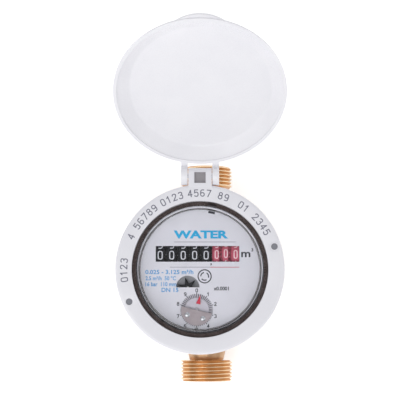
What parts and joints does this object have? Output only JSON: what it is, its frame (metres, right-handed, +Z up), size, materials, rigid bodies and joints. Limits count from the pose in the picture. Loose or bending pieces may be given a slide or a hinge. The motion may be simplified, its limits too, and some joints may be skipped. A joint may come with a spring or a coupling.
{
  "type": "water meter",
  "caption": "Domestic water meter: brass body with threaded ends, dry dial with number rollers, pointer and star wheel under a clear lens, cover ring and hinged lid.",
  "frame": {"origin": "centre of the flat base, on the dial axis", "axes": "+Z up along the dial axis, +Y along the pipe towards the inlet, +X to the right of the dial"},
  "size_m": [0.082, 0.1665, 0.12],
  "materials": {
    "brass": "cast and turned brass, satin",
    "white_plastic": "moulded, satin gloss",
    "pale_plastic": "moulded, matt",
    "grey_plastic": "moulded, matt",
    "black_plastic": "moulded, matt",
    "red_plastic": "moulded, matt",
    "dial_face": "painted, matt",
    "steel": "drawn, bright",
    "dark_metal": "dark, dull",
    "magnet": "pressed ferrite",
    "rubber": "matt",
    "clear": "clear, polished",
    "jewel": "polished"
  },
  "bodies": {
    "meter": {"body": "brass", "clamp_ring": "brass", "cover_ring": "white_plastic", "inlet_strainer": "pale_plastic", "pressure_plate": "pale_plastic", "retaining_ring": "pale_plastic", "register_cup": "grey_plastic", "roller_frame": "grey_plastic", "upper_plate": "grey_plastic", "locking_pins": "grey_plastic", "dial_plate": "dial_face", "impeller_pivot": "steel", "upper_pivot": "steel", "magnet_pin": "steel", "idler_pin": "steel", "roller_shaft": "steel", "pinion_shaft": "steel", "hinge_pin": "steel", "shield_ring": "steel", "register_band": "dark_metal", "plate_seal": "rubber", "lens_gasket": "rubber", "lens": "clear"},
    "lid": {"lid": "white_plastic"},
    "impeller": {"impeller": "pale_plastic", "pivot_jewel": "jewel", "impeller_magnet": "magnet"},
    "drive_magnet": {"magnet_arbor": "pale_plastic", "drive_magnet": "magnet"},
    "star": {"star_arbor": "pale_plastic", "star_wheel": "black_plastic"},
    "pointer": {"pointer_arbor": "pale_plastic", "pointer_disc": "clear", "half_plate": "dark_metal", "pointer_rivets": "steel", "pointer_hand": "red_plastic"},
    "transfer_arbor": {"transfer_arbor": "pale_plastic"},
    "cross_shaft": {"cross_shaft": "pale_plastic"},
    "idler_wheel": {"idler_wheel": "pale_plastic"},
    "roller_1": {"roller_1": "black_plastic"},
    "roller_2": {"roller_2": "black_plastic"},
    "roller_3": {"roller_3": "black_plastic"},
    "roller_4": {"roller_4": "black_plastic"},
    "roller_5": {"roller_5": "black_plastic"},
    "roller_6": {"roller_6": "red_plastic"},
    "roller_7": {"roller_7": "red_plastic"},
    "roller_8": {"roller_8": "red_plastic"},
    "carry_pinion_1": {"carry_pinion_1": "pale_plastic"},
    "carry_pinion_2": {"carry_pinion_2": "pale_plastic"},
    "carry_pinion_3": {"carry_pinion_3": "pale_plastic"},
    "carry_pinion_4": {"carry_pinion_4": "pale_plastic"},
    "carry_pinion_5": {"carry_pinion_5": "pale_plastic"},
    "carry_pinion_6": {"carry_pinion_6": "pale_plastic"},
    "carry_pinion_7": {"carry_pinion_7": "pale_plastic"}
  },
  "joints": [
    {"name": "lid_hinge", "type": "hinge", "parent": "meter", "child": "lid", "pos_m": [0, 0.0455, 0.061], "axis": [-1, 0, 0], "range_deg": [-135, 0]},
    {"name": "impeller_spin", "type": "hinge", "parent": "meter", "child": "impeller", "pos_m": [0, 0, 0.017], "axis": [0, 0, 1], "continuous": true},
    {"name": "drive_magnet_spin", "type": "hinge", "parent": "meter", "child": "drive_magnet", "pos_m": [0, 0, 0.038], "axis": [0, 0, 1], "continuous": true},
    {"name": "star_spin", "type": "hinge", "parent": "meter", "child": "star", "pos_m": [-0.00595, -0.00865, 0.045], "axis": [0, 0, 1], "continuous": true},
    {"name": "pointer_spin", "type": "hinge", "parent": "meter", "child": "pointer", "pos_m": [-0.0016, -0.01965, 0.045], "axis": [0, 0, 1], "continuous": true},
    {"name": "transfer_spin", "type": "hinge", "parent": "meter", "child": "transfer_arbor", "pos_m": [0.01, -0.013, 0.045], "axis": [0, 0, 1], "continuous": true},
    {"name": "cross_shaft_spin", "type": "hinge", "parent": "meter", "child": "cross_shaft", "pos_m": [0.017, -0.013, 0.0416], "axis": [1, 0, 0], "continuous": true},
    {"name": "idler_spin", "type": "hinge", "parent": "meter", "child": "idler_wheel", "pos_m": [0.0206, -0.0058, 0.047], "axis": [1, 0, 0], "continuous": true},
    {"name": "roller_8_spin", "type": "hinge", "parent": "meter", "child": "roller_8", "pos_m": [0, 0.00765, 0.0481], "axis": [1, 0, 0], "continuous": true},
    {"name": "roller_7_spin", "type": "hinge", "parent": "meter", "child": "roller_7", "pos_m": [0, 0.00765, 0.0481], "axis": [1, 0, 0], "continuous": true},
    {"name": "roller_6_spin", "type": "hinge", "parent": "meter", "child": "roller_6", "pos_m": [0, 0.00765, 0.0481], "axis": [1, 0, 0], "continuous": true},
    {"name": "roller_5_spin", "type": "hinge", "parent": "meter", "child": "roller_5", "pos_m": [0, 0.00765, 0.0481], "axis": [1, 0, 0], "continuous": true},
    {"name": "roller_4_spin", "type": "hinge", "parent": "meter", "child": "roller_4", "pos_m": [0, 0.00765, 0.0481], "axis": [1, 0, 0], "continuous": true},
    {"name": "roller_3_spin", "type": "hinge", "parent": "meter", "child": "roller_3", "pos_m": [0, 0.00765, 0.0481], "axis": [1, 0, 0], "continuous": true},
    {"name": "roller_2_spin", "type": "hinge", "parent": "meter", "child": "roller_2", "pos_m": [0, 0.00765, 0.0481], "axis": [1, 0, 0], "continuous": true},
    {"name": "roller_1_spin", "type": "hinge", "parent": "meter", "child": "roller_1", "pos_m": [0, 0.00765, 0.0481], "axis": [1, 0, 0], "continuous": true},
    {"name": "carry_pinion_7_spin", "type": "hinge", "parent": "meter", "child": "carry_pinion_7", "pos_m": [0, 0.01568, 0.04248], "axis": [1, 0, 0], "continuous": true},
    {"name": "carry_pinion_6_spin", "type": "hinge", "parent": "meter", "child": "carry_pinion_6", "pos_m": [0, 0.01568, 0.04248], "axis": [1, 0, 0], "continuous": true},
    {"name": "carry_pinion_5_spin", "type": "hinge", "parent": "meter", "child": "carry_pinion_5", "pos_m": [0, 0.01568, 0.04248], "axis": [1, 0, 0], "continuous": true},
    {"name": "carry_pinion_4_spin", "type": "hinge", "parent": "meter", "child": "carry_pinion_4", "pos_m": [0, 0.01568, 0.04248], "axis": [1, 0, 0], "continuous": true},
    {"name": "carry_pinion_3_spin", "type": "hinge", "parent": "meter", "child": "carry_pinion_3", "pos_m": [0, 0.01568, 0.04248], "axis": [1, 0, 0], "continuous": true},
    {"name": "carry_pinion_2_spin", "type": "hinge", "parent": "meter", "child": "carry_pinion_2", "pos_m": [0, 0.01568, 0.04248], "axis": [1, 0, 0], "continuous": true},
    {"name": "carry_pinion_1_spin", "type": "hinge", "parent": "meter", "child": "carry_pinion_1", "pos_m": [0, 0.01568, 0.04248], "axis": [1, 0, 0], "continuous": true}
  ],
  "couplings": [
    {"joint": "drive_magnet_spin", "follows": "impeller_spin", "ratio": 1},
    {"joint": "star_spin", "follows": "impeller_spin", "ratio": -0.16667},
    {"joint": "pointer_spin", "follows": "impeller_spin", "ratio": 0.041667},
    {"joint": "transfer_spin", "follows": "impeller_spin", "ratio": -0.020833},
    {"joint": "cross_shaft_spin", "follows": "impeller_spin", "ratio": 0.010417},
    {"joint": "idler_spin", "follows": "impeller_spin", "ratio": -0.0052083},
    {"joint": "roller_8_spin", "follows": "impeller_spin", "ratio": 0.0041667},
    {"joint": "roller_7_spin", "follows": "impeller_spin", "ratio": 0.00041667},
    {"joint": "roller_6_spin", "follows": "impeller_spin", "ratio": 0.000041667},
    {"joint": "roller_5_spin", "follows": "impeller_spin", "ratio": 0.0000041667},
    {"joint": "roller_4_spin", "follows": "impeller_spin", "ratio": 0.00000041667},
    {"joint": "roller_3_spin", "follows": "impeller_spin", "ratio": 0.000000041667},
    {"joint": "roller_2_spin", "follows": "impeller_spin", "ratio": 0.0000000041667},
    {"joint": "roller_1_spin", "follows": "impeller_spin", "ratio": 0.00000000041667},
    {"joint": "carry_pinion_7_spin", "follows": "impeller_spin", "ratio": -0.0010417},
    {"joint": "carry_pinion_6_spin", "follows": "impeller_spin", "ratio": -0.00010417},
    {"joint": "carry_pinion_5_spin", "follows": "impeller_spin", "ratio": -0.000010417},
    {"joint": "carry_pinion_4_spin", "follows": "impeller_spin", "ratio": -0.0000010417},
    {"joint": "carry_pinion_3_spin", "follows": "impeller_spin", "ratio": -0.00000010417},
    {"joint": "carry_pinion_2_spin", "follows": "impeller_spin", "ratio": -0.000000010417},
    {"joint": "carry_pinion_1_spin", "follows": "impeller_spin", "ratio": -0.0000000010417}
  ]
}
